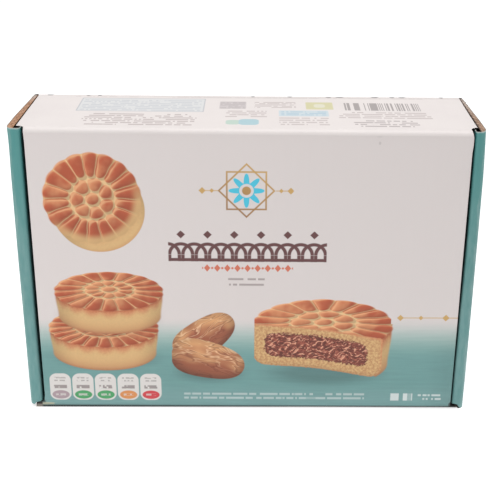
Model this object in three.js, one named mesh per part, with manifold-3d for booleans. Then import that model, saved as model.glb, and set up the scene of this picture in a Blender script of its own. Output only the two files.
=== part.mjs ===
// A shut corrugated mailer carton for date maamoul biscuits, standing on its long front flap.
//
// Millimetres. +X runs along the carton, +Y from the lid to the rear panel, +Z up.
// The origin is at the centre of the underside of the whole carton.
//
// The carton is folded from one blank of corrugated board:
//   lid               front panel of the upright carton, with the hinge panel on top of it
//                     and the long flap that it stands on, one strip of board
//   side_wall_left    double walls at the two ends: each is rolled over towards the lid, so
//   side_wall_right   its fold shows beside the lid as a rim, and is locked by two tabs
//   tray              rear panel and the filled inside, which nobody can see into

import * as THREE from 'three';
import { mergeVertices } from 'three/addons/utils/BufferGeometryUtils.js';
import Module from 'manifold-3d';

const wasm = await Module();
wasm.setup();

// ---- Driving dimensions ---------------------------------------------------------------

const WIDTH = 196;
const DEPTH = 57;
const HEIGHT = 130;

const BOARD = 2.4;
const CLEARANCE = 0.3;

const WALL = { left: 5.1, right: 4.6 };
const LID_MARGIN = { left: 6.3, right: 5.5 };
const PANEL_MARGIN = 3.2;
const WALL_FOOT = { left: 1.2, right: 0 };

const HINGE_FOLD = 2.5;
const FLAP_FOLD = 2.0;
const REAR_FOLD = 2.2;
const FLAP_SETBACK = 0.8;

const RIM_OUTER_FOLD = 2.0;
const RIM_INNER_FOLD = 1.6;
const CORNER_FOLD = 2.2;

const NOTCH = 3.0;
const CORNER_CLIP = 1.8;
const INNER_LAYER_SHORT = 0.6;

const TAB_LENGTH = 22;
const TAB_HEIGHTS = [0.27 * HEIGHT, 0.73 * HEIGHT];

const EDGE_SLOT = { depth: 8, width: 1.6 };

const ARC_STEPS = 8;

// ---- Derived places -------------------------------------------------------------------

const front = -DEPTH / 2;
const rear = DEPTH / 2;
const SIDES = { left: -1, right: 1 };

/** X of the plane that lies `inset` inside the carton's left or right end. */
const fromEnd = (side, inset) => SIDES[side] * (WIDTH / 2 - inset);

const COLOURS = { white: '#e4dcd8', teal: '#62999a' };

// ---- Shapes ---------------------------------------------------------------------------

/** A closed outline through corners [a, b, radius]; a corner with a radius is an arc. */
function outline(corners) {
  const at = (i) => {
    const [a, b] = corners[(i + corners.length) % corners.length];
    return new THREE.Vector2(a, b);
  };
  const points = [];
  corners.forEach(([, , radius = 0], i) => {
    const corner = at(i);
    if (radius === 0) {
      points.push(corner);
      return;
    }
    const toPrevious = at(i - 1).sub(corner).normalize();
    const toNext = at(i + 1).sub(corner).normalize();
    const halfAngle = Math.acos(toPrevious.dot(toNext)) / 2;
    const bisector = toPrevious.clone().add(toNext).normalize();
    const centre = corner.clone().addScaledVector(bisector, radius / Math.sin(halfAngle));
    const reach = radius / Math.tan(halfAngle);
    const start = corner.clone().addScaledVector(toPrevious, reach).sub(centre);
    const end = corner.clone().addScaledVector(toNext, reach).sub(centre);
    const sweep = Math.atan2(start.cross(end), start.dot(end));
    for (let step = 0; step <= ARC_STEPS; step += 1) {
      const turned = start.clone().rotateAround(new THREE.Vector2(), (sweep * step) / ARC_STEPS);
      points.push(turned.add(centre));
    }
  });
  return new THREE.Shape(points);
}

/** A manifold-3d solid with the shape of a closed three.js geometry. */
function toSolid(geometry) {
  geometry.deleteAttribute('normal');
  geometry.deleteAttribute('uv');
  const merged = mergeVertices(geometry, 1e-4);
  return new wasm.Manifold(new wasm.Mesh({
    numProp: 3,
    vertProperties: new Float32Array(merged.attributes.position.array),
    triVerts: new Uint32Array(merged.index.array),
  }));
}

/** An outline in the XY plane, extruded from z = low to z = high. */
function upright(corners, low, high) {
  const options = { depth: high - low, bevelEnabled: false };
  return toSolid(new THREE.ExtrudeGeometry(outline(corners), options).translate(0, 0, low));
}

/** An outline in the YZ plane, extruded from x = low to x = high. */
function lengthwise(corners, low, high) {
  const options = { depth: high - low, bevelEnabled: false };
  const geometry = new THREE.ExtrudeGeometry(outline(corners), options).translate(0, 0, low);
  const yzPlane = new THREE.Matrix4().makeBasis(
    new THREE.Vector3(0, 1, 0),
    new THREE.Vector3(0, 0, 1),
    new THREE.Vector3(1, 0, 0),
  );
  return toSolid(geometry.applyMatrix4(yzPlane));
}

/** A block between two insets from one end of the carton. */
function endBlock(side, [insetA, insetB], [yLow, yHigh], [zLow, zHigh]) {
  const a = fromEnd(side, insetA);
  const b = fromEnd(side, insetB);
  return upright([[a, yLow], [b, yLow], [b, yHigh], [a, yHigh]], zLow, zHigh);
}

/** Z range of a lock tab, widened by `play` at each end. */
const tabRange = (centre, play = 0) => [
  centre - TAB_LENGTH / 2 - play,
  centre + TAB_LENGTH / 2 + play,
];

// ---- Parts ----------------------------------------------------------------------------

/** Flap, lid panel and hinge panel: one strip of board folded round the front. */
function lidSolid() {
  const strip = lengthwise([
    [rear, HEIGHT - BOARD],
    [rear, HEIGHT, REAR_FOLD],
    [front, HEIGHT, HINGE_FOLD],
    [front, 0, FLAP_FOLD],
    [rear - FLAP_SETBACK, 0],
    [rear - FLAP_SETBACK, BOARD],
    [front + BOARD, BOARD],
    [front + BOARD, HEIGHT - BOARD],
  ], -WIDTH / 2, WIDTH / 2);

  // Seen from above the strip is narrower between the rims than behind them.
  const overshoot = 1;
  const edge = (side) => {
    const lidEdge = fromEnd(side, LID_MARGIN[side]);
    const panelEdge = fromEnd(side, PANEL_MARGIN);
    const clipped = panelEdge - SIDES[side] * (CORNER_CLIP + overshoot);
    return [
      [lidEdge, front - overshoot],
      [lidEdge, front + BOARD],
      [panelEdge, front + BOARD + NOTCH],
      [panelEdge, rear - CORNER_CLIP],
      [clipped, rear + overshoot],
    ];
  };
  const plan = upright([...edge('right'), ...edge('left').reverse()], -overshoot, HEIGHT + overshoot);
  return strip.intersect(plan);
}

/** A double end wall: outer layer, rim fold, shorter inner layer and its lock tabs. */
function sideWallSolid(side) {
  const wall = WALL[side];
  const rimBack = front + RIM_INNER_FOLD;
  const outerLayerAndRim = upright([
    [fromEnd(side, 0), front, RIM_OUTER_FOLD],
    [fromEnd(side, wall), front, RIM_INNER_FOLD],
    [fromEnd(side, wall), rimBack],
    [fromEnd(side, BOARD), rimBack],
    [fromEnd(side, BOARD), rear],
    [fromEnd(side, 0), rear, CORNER_FOLD],
  ], WALL_FOOT[side], HEIGHT);

  const overlap = BOARD / 2;
  const innerLayer = endBlock(
    side,
    [BOARD - overlap, wall],
    [rimBack, rear - BOARD - CLEARANCE],
    [BOARD + INNER_LAYER_SHORT, HEIGHT - BOARD - INNER_LAYER_SHORT],
  );
  const tabs = TAB_HEIGHTS.map((centre) => endBlock(
    side,
    [BOARD - overlap, wall],
    [rear - BOARD - CLEARANCE - overlap, rear],
    tabRange(centre),
  ));
  return tabs.reduce((whole, tab) => whole.add(tab), outerLayerAndRim.add(innerLayer));
}

/** Rear panel with its lock slots, and the filled inside of the shut carton. */
function traySolid() {
  const low = BOARD + CLEARANCE;
  const high = HEIGHT - BOARD - CLEARANCE;
  const inside = lengthwise(
    [
      [front + BOARD + CLEARANCE, low],
      [rear, low, REAR_FOLD],
      [rear, high],
      [front + BOARD + CLEARANCE, high],
    ],
    fromEnd('left', WALL.left + CLEARANCE),
    fromEnd('right', WALL.right + CLEARANCE),
  );
  const rearPanel = lengthwise(
    [[rear - BOARD, low], [rear, low, REAR_FOLD], [rear, high], [rear - BOARD, high]],
    fromEnd('left', BOARD + CLEARANCE),
    fromEnd('right', BOARD + CLEARANCE),
  );

  let tray = inside.add(rearPanel);
  for (const side of Object.keys(SIDES)) {
    for (const centre of TAB_HEIGHTS) {
      const slot = endBlock(
        side,
        [0, WALL[side] + CLEARANCE],
        [rear - 2 * BOARD, rear + BOARD],
        tabRange(centre, CLEARANCE),
      );
      tray = tray.subtract(slot);
    }
    // The gap beside the lid goes on behind the lid's edge.
    const edgeSlot = endBlock(
      side,
      [0, LID_MARGIN[side] + EDGE_SLOT.width],
      [front, front + BOARD + EDGE_SLOT.depth],
      [0, HEIGHT],
    );
    tray = tray.subtract(edgeSlot);
  }
  return tray;
}

// ---- Assembly -------------------------------------------------------------------------

function toMesh(name, solid, colour) {
  const { vertProperties, triVerts } = solid.getMesh();
  const geometry = new THREE.BufferGeometry();
  geometry.setAttribute('position', new THREE.BufferAttribute(vertProperties, 3));
  geometry.setIndex(new THREE.BufferAttribute(triVerts, 1));
  geometry.computeVertexNormals();
  const material = new THREE.MeshStandardMaterial({ color: colour, roughness: 0.55, metalness: 0 });
  const mesh = new THREE.Mesh(geometry, material);
  mesh.name = name;
  return mesh;
}

const carton = new THREE.Group();
carton.add(
  toMesh('lid', lidSolid(), COLOURS.white),
  toMesh('side_wall_left', sideWallSolid('left'), COLOURS.teal),
  toMesh('side_wall_right', sideWallSolid('right'), COLOURS.teal),
  toMesh('tray', traySolid(), COLOURS.white),
);

export default carton;
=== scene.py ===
"""The looks of a shut corrugated mailer carton of date maamoul biscuits.

Every length is in millimetres unless its name says otherwise, in the frame of the CAD part:
+X along the carton, +Y from the lid panel to the rear panel, +Z up.
"""

import math
from functools import reduce

import bpy
import numpy as np
from mathutils import Matrix, Vector


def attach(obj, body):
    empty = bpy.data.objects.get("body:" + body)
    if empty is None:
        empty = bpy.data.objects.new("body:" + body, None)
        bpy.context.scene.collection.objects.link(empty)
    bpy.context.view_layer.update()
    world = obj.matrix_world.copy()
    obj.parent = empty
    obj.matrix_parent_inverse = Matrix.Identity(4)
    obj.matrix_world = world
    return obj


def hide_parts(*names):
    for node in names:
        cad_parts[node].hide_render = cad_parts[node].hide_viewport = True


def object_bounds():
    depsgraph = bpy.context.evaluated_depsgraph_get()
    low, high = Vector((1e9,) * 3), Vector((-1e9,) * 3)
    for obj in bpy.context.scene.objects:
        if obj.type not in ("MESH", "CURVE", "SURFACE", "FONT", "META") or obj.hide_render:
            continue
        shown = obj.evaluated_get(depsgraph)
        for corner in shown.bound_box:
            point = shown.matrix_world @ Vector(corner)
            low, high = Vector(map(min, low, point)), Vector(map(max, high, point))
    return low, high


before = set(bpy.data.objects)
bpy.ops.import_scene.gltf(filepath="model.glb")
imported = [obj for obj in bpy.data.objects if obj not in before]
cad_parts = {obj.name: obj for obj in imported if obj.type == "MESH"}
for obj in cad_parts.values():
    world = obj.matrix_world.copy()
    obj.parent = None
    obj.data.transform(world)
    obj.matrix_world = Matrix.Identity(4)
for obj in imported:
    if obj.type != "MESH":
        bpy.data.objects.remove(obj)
CAD_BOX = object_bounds()

MM = 0.001

# ---- Sizes of the carton ---------------------------------------------------------------

WIDTH, DEPTH, HEIGHT = (round((high - low) / MM, 3) for low, high in zip(*CAD_BOX))
FRONT, REAR = -DEPTH / 2, DEPTH / 2
LEFT, RIGHT = -1, 1

BOARD = 2.4
LINER = 0.32
FLUTE_PITCH, FLUTE_DEPTH = 5.0, 0.22
HALF_PAPER = 0.14  # half the drawn thickness of the wavy paper

LID_LEFT, LID_RIGHT = -91.1, 92.1
LID_EDGES = {  # (z, x) up each edge of the lid panel, which isn't cut quite square
    "left": ((0.0, -91.4), (3.6, -91.4), (6.0, -91.05), (60.0, -91.15), (126.0, -91.25),
             (130.0, -91.6)),
    "right": ((0.0, 92.05), (30.0, 92.2), (70.0, 92.27), (110.0, 92.45), (121.0, 92.5),
              (126.5, 92.95), (128.5, 92.6), (130.0, 92.2)),
}
PANEL_EDGES = {"left": -95.0, "right": 95.25}  # x of the hinge panel's edges
FLAP_EDGES = {"left": -95.3, "right": 95.5}
NOMINAL_EDGE = 94.8  # about where the strip's edges lie, for its bulge, its flutes and its map
HINGE_FOLD, FLAP_FOLD, REAR_FOLD, CORNER_FOLD = 2.5, 2.0, 2.2, 2.2
FLAP_END = REAR - 0.8
# How far behind the front the strip starts to widen beside the rims, and over what length.
HINGE_NOTCH = {"left": (2.2, 1.9), "right": (3.8, 3.4)}
FLAP_NOTCH = {"left": (1.2, 2.8), "right": (1.6, 2.6)}
FLARE_TOP = {"left": 4.5, "right": 2.6}  # z under which the flap's front corners flare out
CORNER_CLIP = {"left": 0.2, "right": 0.4}  # cut off the hinge panel's rear corners

TAB_LENGTH = 22.0
TAB_CENTRES = (0.27 * HEIGHT, 0.73 * HEIGHT)
TAB_PLAY = 0.3
SLOTTED = TAB_LENGTH / 2 + TAB_PLAY  # half the height of a lock slot
CLEARANCE = 0.3

ARC_STEPS = 6
CREASE_ANGLE = math.radians(42)


def between(stops, at):
    """The value at a place between stops (place, value)."""
    return float(np.interp(at, *zip(*stops)))


def from_end(side, inset):
    """X of the plane that lies this far inside the carton's left or right end."""
    return side * (WIDTH / 2 - inset)


# ---- Camera ----------------------------------------------------------------------------

CAMERA_PLACE = (5.414, -458.502, 252.152)
CAMERA_YAW, CAMERA_PITCH, CAMERA_ROLL = map(math.radians, (1.0755, 22.8385, 0.7906))
FOCAL_PIXELS, FRAME_PIXELS = 1089.31, 500
SHIFT_PIXELS = (29.10, 13.93)
SENSOR = 36.0
CLIP_METRES = (0.01, 20.0)


def make_camera():
    data = bpy.data.cameras.new("camera")
    data.sensor_width = SENSOR
    data.lens = FOCAL_PIXELS * SENSOR / FRAME_PIXELS
    data.shift_x = -SHIFT_PIXELS[0] / FRAME_PIXELS
    data.shift_y = SHIFT_PIXELS[1] / FRAME_PIXELS
    data.clip_start, data.clip_end = CLIP_METRES
    camera = bpy.data.objects.new("camera", data)
    bpy.context.scene.collection.objects.link(camera)
    bpy.context.scene.camera = camera

    ahead = Vector((
        math.sin(CAMERA_YAW) * math.cos(CAMERA_PITCH),
        math.cos(CAMERA_YAW) * math.cos(CAMERA_PITCH),
        -math.sin(CAMERA_PITCH),
    ))
    level = Vector((math.cos(CAMERA_YAW), -math.sin(CAMERA_YAW), 0))
    above = level.cross(ahead)
    right = math.cos(CAMERA_ROLL) * level + math.sin(CAMERA_ROLL) * above
    up = math.cos(CAMERA_ROLL) * above - math.sin(CAMERA_ROLL) * level
    turn = Matrix((right, up, -ahead)).transposed()
    camera.matrix_world = Matrix.Translation(Vector(CAMERA_PLACE) * MM) @ turn.to_4x4()


make_camera()

# ---- Numbers and colours over a surface ------------------------------------------------


def is_field(value):
    return isinstance(value, Field)


def feed(tree, value, socket):
    """Links a field to a socket, or sets the socket to a number or a colour."""
    if is_field(value):
        tree.links.new(value.socket, socket)
    elif socket.type == "RGBA":
        socket.default_value = (*value, 1.0)
    else:
        socket.default_value = value


def computed(kind, inputs, output=0, **settings):
    """An output of a new node, whose inputs are given by number or by name."""
    tree = next(value.tree for value in inputs.values() if is_field(value))
    node = tree.nodes.new(f"ShaderNode{kind}")
    for name, setting in settings.items():
        setattr(node, name, setting)
    for socket, value in inputs.items():
        feed(tree, value, node.inputs[socket])
    return Field(tree, node.outputs[output])


def calc(operation, *values, clamp=False):
    return computed("Math", dict(enumerate(values)), operation=operation, use_clamp=clamp)


def math_function(operation, swapped=False):
    def function(*values):
        return calc(operation, *(values[::-1] if swapped else values))
    return function


class Field:
    """A number or colour that varies over a surface. Arithmetic on it adds Math nodes."""

    def __init__(self, tree, socket):
        self.tree, self.socket = tree, socket

    __add__, __radd__ = math_function("ADD"), math_function("ADD", swapped=True)
    __sub__, __rsub__ = math_function("SUBTRACT"), math_function("SUBTRACT", swapped=True)
    __mul__, __rmul__ = math_function("MULTIPLY"), math_function("MULTIPLY", swapped=True)
    __truediv__ = math_function("DIVIDE")
    __abs__ = math_function("ABSOLUTE")


floor_of, fraction, root = map(math_function, ("FLOOR", "FRACT", "SQRT"))
cosine, arcsine = map(math_function, ("COSINE", "ARCSINE"))


def least(*values):
    return reduce(math_function("MINIMUM"), values)


def most(*values):
    return reduce(math_function("MAXIMUM"), values)


def clamped(value):
    return calc("ADD", value, 0.0, clamp=True)


def length_of(a, b):
    return root(a * a + b * b)


def angle_of(a, b):
    return calc("ARCTAN2", b, a)


def step(value, start, end, low=0.0, high=1.0, kind="SMOOTHSTEP"):
    """Goes smoothly from low to high as value goes from start to end."""
    inputs = dict(enumerate((value, start, end, low, high)))
    return computed("MapRange", inputs, interpolation_type=kind)


def ramp(value, start, end, low=0.0, high=1.0):
    """Goes straight from low to high as value goes from start to end."""
    return step(value, start, end, low, high, "LINEAR")


def inside(distance, edge, soft):
    """1 where distance is under edge, 0 over it, with an edge `soft` wide."""
    return step(distance, edge - soft / 2, edge + soft / 2, 1.0, 0.0)


def line(distance, width, soft):
    """1 on the line where distance is 0."""
    return inside(abs(distance), width / 2, soft)


def noise(place, scale=1.0, detail=2.0, rough=0.5, dimensions="3D"):
    inputs = {"Vector": place, "Scale": scale, "Detail": detail, "Roughness": rough}
    return computed("TexNoise", inputs, "Fac", noise_dimensions=dimensions)


def flat_noise(u, v, scale=1.0, detail=2.0, rough=0.5):
    return noise(computed("CombineXYZ", {"X": u, "Y": v}), scale, detail, rough, "2D")


def chance(u, v):
    """A random number from 0 to 1 for each whole u and v."""
    place = computed("CombineXYZ", {"X": u, "Y": v})
    return computed("TexWhiteNoise", {"Vector": place}, "Value", noise_dimensions="2D")


MIX_SHARE, MIX_FIRST, MIX_SECOND, MIX_RESULT = 0, 6, 7, 2  # a Mix node's sockets for colours


def mixed(share, first, second):
    """The colour that goes from first to second as share goes from 0 to 1."""
    inputs = {MIX_SHARE: share, MIX_FIRST: first, MIX_SECOND: second}
    return computed("Mix", inputs, MIX_RESULT, data_type="RGBA")


def scaled(vector, factor):
    """A colour or a place times a number."""
    return computed("VectorMath", {0: vector, "Scale": factor}, operation="SCALE")


class Surface:
    """A material whose colour is laid on in layers."""

    def __init__(self, name):
        self.material = bpy.data.materials.new(name)
        self.material.use_nodes = True
        self.tree = self.material.node_tree
        self.shader = self.tree.nodes["Principled BSDF"]
        coordinates = self.tree.nodes.new("ShaderNodeTexCoord")
        self.place = scaled(Field(self.tree, coordinates.outputs["Object"]), 1 / MM)
        apart = self.tree.nodes.new("ShaderNodeSeparateXYZ")
        feed(self.tree, self.place, apart.inputs[0])
        self.x, self.y, self.z = (Field(self.tree, socket) for socket in apart.outputs)
        self.colour = None

    def lay(self, mask, colour):
        self.colour = mixed(mask, self.colour, colour)

    def shade(self, light):
        self.colour = scaled(self.colour, light)

    def finish(self, roughness, height=None, relief=0.0):
        """Links the colour, roughness and bump; relief is the height in mm of a full step."""
        feed(self.tree, self.colour, self.shader.inputs["Base Color"])
        feed(self.tree, roughness, self.shader.inputs["Roughness"])
        if height is not None:
            normal = computed("Bump", {"Distance": relief * MM, "Height": height})
            feed(self.tree, normal, self.shader.inputs["Normal"])
        return self.material


# ---- Printing inks ---------------------------------------------------------------------

FRONT_LIGHT, TOP_LIGHT = 0.976, 1.27  # how bright white would be on the lid and hinge panels
BRIGHTEST_PAINT = 0.93


def ink(red, green, blue, light=FRONT_LIGHT):
    """The paint that looks like a display colour, from 0 to 255, under this light."""
    def linear(level):
        level /= 255
        return level / 12.92 if level <= 0.04045 else ((level + 0.055) / 1.055) ** 2.4
    return tuple(min(linear(level) / light, BRIGHTEST_PAINT) for level in (red, green, blue))


def top_ink(red, green, blue):
    return ink(red, green, blue, TOP_LIGHT)


WHITE = ink(215, 207, 205)
TEAL, TEAL_LIGHT, TEAL_DEEP = ink(108, 153, 151), ink(118, 158, 157), ink(88, 142, 140)
TEAL_FRESH, TEAL_SHADE = ink(118, 204, 186), ink(66, 140, 137)
GOLD, GOLD_DARK = ink(196, 158, 96), ink(150, 108, 66)
CYAN = ink(70, 190, 216)
BROWN = ink(98, 60, 60)
TERRACOTTA = ink(204, 112, 88)
SMALL_PRINT, SMALL_PRINT_DARK = ink(150, 138, 136), ink(112, 98, 98)
PALE_PRINT, PALER_PRINT, TAB_WHITE = ink(214, 220, 219), ink(222, 226, 225), ink(218, 214, 211)
OVALS = (ink(170, 150, 156), ink(74, 158, 100), ink(74, 158, 100), ink(216, 142, 84),
         ink(206, 66, 74))

GROOVE, CRUST, BAKED = ink(224, 186, 136), ink(200, 132, 90), ink(172, 80, 48)
SHEEN = ink(240, 200, 150)
CRUMB, CRUMB_TAN, CRUMB_LOW = ink(211, 173, 120), ink(200, 150, 103), ink(178, 112, 78)
CUT_PALE, CUT_TAN = ink(213, 177, 124), ink(187, 138, 92)
DATE_DARK, DATE_PASTE, DATE_SHRED = ink(94, 40, 30), ink(152, 78, 60), ink(226, 164, 134)
DATE_SKIN, DATE_BROWN = ink(154, 86, 58), ink(104, 48, 36)
DATE_GOLD, DATE_GLINT = ink(206, 152, 104), ink(246, 212, 172)

KRAFT_PALE, KRAFT_BROWN = ink(206, 172, 146), ink(184, 118, 76)
KRAFT_GREY, TIP_SHADE = ink(196, 188, 182), ink(92, 88, 84)
DEEP_SHADE, FOLD_GREY = ink(24, 22, 20), ink(122, 113, 103)
WORN_PALE, CORNER_SHADE = ink(188, 184, 156), ink(44, 46, 44)
SCUFF_AND_HIGHLIGHT = ink(186, 198, 194)
NICK_GREY = ink(96, 90, 90)

TEAL_TOP, TEAL_FULL = 45.4, 21.0  # z between which the white fades to teal
STREAK_SHIFT = 1.6  # how far the streaks move the fade up or down


def board_print(surface):
    """White above, teal below with a long fade between, and faint streaks along the carton;
    painted shade darkens both towards the right.
    """
    streak = flat_noise(surface.x * 0.05, surface.z * 0.9, 1.0, 3.0, 0.6)
    # Painted shade: the teal darkens towards the right and near the right edge, on top of the
    # streaks.
    tone_and_shade = ramp(streak, 0.25, 0.75, 0.95, 1.05) * step(surface.x, 76.0, 93.0, 1.0, 0.84)
    tone_and_shade = tone_and_shade * ramp(surface.x, -10.0, 60.0, 1.0, 0.965)
    teal = scaled(mixed(step(surface.z, 14.0, 5.0), TEAL, TEAL_LIGHT), tone_and_shade)
    white_share = step(surface.z + (streak - 0.5) * STREAK_SHIFT, TEAL_FULL, TEAL_TOP)
    # Painted shade: the white darkens from left to right.
    white = scaled(WHITE, ramp(surface.x, -92.0, 92.0, 1.035, 0.955))
    surface.colour = mixed(1.0 - white_share * white_share, white, teal)
    surface.lay(white_share * white_share * (1.0 - white_share) * 0.9, TEAL_FRESH)


def board_finish(surface, smoothest=0.42):
    """Satin printed board: paper grain, a faint washboard from the flutes, scuffs."""
    grain = noise(surface.place, 2.2, 3.0, 0.6)
    washboard = cosine(surface.x * (2 * math.pi / FLUTE_PITCH))
    clouds = noise(surface.place, 0.06)
    height = grain * 0.25 + washboard * 0.12 + clouds * 1.2
    return surface.finish(ramp(grain, 0.3, 0.7, smoothest, smoothest + 0.16), height, 0.12)


# ---- Motifs of the print ---------------------------------------------------------------
# A motif is (box, paint): the box (left, right, low, high) that it reaches, and what it lays
# on a surface. `surface.x` runs along the carton and `surface.up` up the printed panel.

SOFT = 0.45  # width of a printed edge
PETALS = 18
DOME = 0.14  # rise of a biscuit's top, as a share of its radius
TO_LIGHT = (-0.035, 0.05)  # over the unit circle of a biscuit's top


def around(centre, radii):
    return (centre[0] - radii[0], centre[0] + radii[0],
            centre[1] - radii[1], centre[1] + radii[1])


def grown(box, beside=1, above=1):
    left, right, low, high = box
    return left - beside, right + beside, low - above, high + above


def seen_from(surface, centre, radii):
    """The place on a panel as seen from a centre, in units of the radii."""
    return (surface.x - centre[0]) / radii[0], (surface.up - centre[1]) / radii[1]


def rounded_box(u, v, half_u, half_v, radius):
    """Distance outside a rounded box."""
    a = most(abs(u) - (half_u - radius), 0.0)
    b = most(abs(v) - (half_v - radius), 0.0)
    return length_of(a, b) - radius


def cell_offset(surface, left, pitch, shift=0.0):
    """Distance along the panel from the middle of a repeating cell."""
    return (fraction((surface.x - left) / pitch + shift) - 0.5) * pitch


def sector_offset(u, v, count):
    """From 0 in the middle of a sector of a turn to 1 at its sides."""
    return abs(fraction(angle_of(u, v) * (count / (2 * math.pi))) - 0.5) * 2


def swelling(height, reach):
    """A rounded rise from 0 at height 0 to 1 at height `reach`."""
    rest = 1.0 - clamped(height / reach)
    return root(1.0 - rest * rest)


def petal_ring(u, v, radius, count, start, end, tips):
    """Puffed petals between two radii; tips is the reach of their inner and outer rounding."""
    across = sector_offset(u, v, count)
    bow = across * across * 0.05
    return (swelling(1.0 - across, 0.95) * swelling(radius - start - bow, tips[0])
            * swelling(end - radius - bow, tips[1]))


def flower_mould(knobs):
    """A dome in a ring of knobs, in a ring of long petals."""
    def height(u, v):
        radius = length_of(u, v)
        middle = most(swelling(0.14 - radius, 0.12),
                      petal_ring(u, v, radius, knobs, 0.17, 0.46, (0.13, 0.13)))
        return most(middle, petal_ring(u, v, radius, PETALS, 0.47, 1.04, (0.12, 0.16)))
    return height


def lattice_mould(u, v):
    """A diamond lattice in a ring of petals."""
    def bar(value):
        return abs(abs(fraction(value * 2.2) - 0.5) - 0.5) * 2
    radius = length_of(u, v)
    middle = least(swelling(bar(u + v), 0.6), swelling(bar(u - v), 0.6),
                   swelling(0.54 - radius, 0.10))
    return most(middle, petal_ring(u, v, radius, 22, 0.55, 1.04, (0.10, 0.16)))


def crumb_grain(surface):
    return flat_noise(surface.x, surface.up, 0.9, 3.0, 0.65)


def crust_top(surface, u, v, mould, grain, dome=DOME, pale_edge=0.0, down=(0.0, -1.0), dark=0.0):
    """Lays the pressed top of a biscuit inside the unit circle of (u, v).

    Its edge is left pale by pale_edge towards the side of the biscuit that shows, which lies
    in the direction `down`. `dark` says how much longer than the others it was baked.
    """
    radius = length_of(u, v)
    patches = flat_noise(surface.x, surface.up, 0.13)
    sway = (flat_noise(surface.up, surface.x, 0.12, 1.0) - 0.5) * 0.06
    raised = v - (1.0 - radius * radius) * dome
    pu, pv = u + sway, raised - sway
    crest = mould(pu, pv)
    lit = crest - mould(pu + TO_LIGHT[0], pv + TO_LIGHT[1])
    colour = mixed(step(crest + (grain - 0.5) * 0.20, 0.05, 0.50), GROOVE, CRUST)
    bake = most(radius, 0.48) * 0.62 + 0.20 + dark + (patches - 0.5) * 0.9
    bake = bake + u * 0.08 - v * 0.06 - lit * 0.30
    colour = mixed(step(bake, 0.36, 0.86) * step(crest, 0.25, 0.75), colour, BAKED)
    colour = mixed(step(lit, 0.20, 0.60) * 0.30, colour, SHEEN)
    pale = step(radius, 0.76, 0.95) * step(u * down[0] + v * down[1], -0.1, 0.6) * pale_edge
    relief = most(least(lit, 0.22), -0.42) * (1.0 - pale * 0.85) * 0.68
    colour = scaled(mixed(pale, colour, CRUMB), 1.0 + relief - u * 0.04 + v * 0.04)
    notch = sector_offset(u, v, PETALS)
    surface.lay(inside(radius + notch * notch * 0.035, 1.01, 0.04), colour)


def crust_side(surface, mask, u, v, drop, grain, hot):
    """Lays the side of a biscuit: baked next to its top, pale, then browned at its foot.

    drop is the way from the rim of the top to the rim of the underside.
    """
    length = math.hypot(*drop)
    down_u, down_v = drop[0] / length, drop[1] / length
    across, along = u * down_v - v * down_u, u * down_u + v * down_v
    rim = root(clamped(1.0 - across * across))
    fall = (along - rim) / length + (grain - 0.5) * 0.10
    tooth = abs(cosine(arcsine(least(most(across, -1.0), 1.0)) * (PETALS / 2))) * 0.13
    baked = mixed(step(fall, -0.10, 0.16), BAKED, CRUST)
    colour = mixed(step(fall - tooth, -0.08, 0.28, 1.0, 0.0) * hot, CRUMB, baked)
    colour = mixed(step(fall, 0.40, 0.95), colour, CRUMB_TAN)
    colour = mixed(step(fall, 0.80, 1.02), colour, CRUMB_LOW)
    light = 1.02 - step(abs(across), 0.50, 1.0) * 0.26 - step(fall, 0.6, 1.1) * 0.12
    surface.lay(mask, scaled(colour, light + (grain - 0.5) * 0.16))


def drum(u, v, drop, soft):
    """1 on a biscuit's outline: its top, swept down to a slightly smaller foot."""
    down_u, down_v = drop
    share = clamped((u * down_u + v * down_v) / (down_u * down_u + down_v * down_v))
    away = length_of(u - share * down_u, v - share * down_v)
    return inside(away + step(share, 0.2, 1.0) * 0.04, 0.985, soft)


def whole_biscuit(centre, radii, depth, mould, dome=DOME, pale_edge=0.0, dark=0.0):
    drop = (depth[0] / radii[0], depth[1] / radii[1])
    length = math.hypot(*drop)
    down = (drop[0] / length, drop[1] / length)

    def paint(surface):
        u, v = seen_from(surface, centre, radii)
        grain = crumb_grain(surface)
        outline = drum(u, v, drop, SOFT / radii[1])
        crust_side(surface, outline, u, v, drop, grain, 1.0 - pale_edge)
        crust_top(surface, u, v, mould, grain, dome, pale_edge, down, dark)

    left, right, low, high = around(centre, radii)
    return grown((left + min(depth[0], 0), right + max(depth[0], 0),
                  low + min(depth[1], 0), high + max(depth[1], 0))), paint


CUT_NORMAL, CUT_AT = (-0.30, -0.954), 0.22  # the cut across the unit circle of a top
CRUST_THICKNESS = (6.0, 3.6)  # round the filling, beside it and above it


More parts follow.
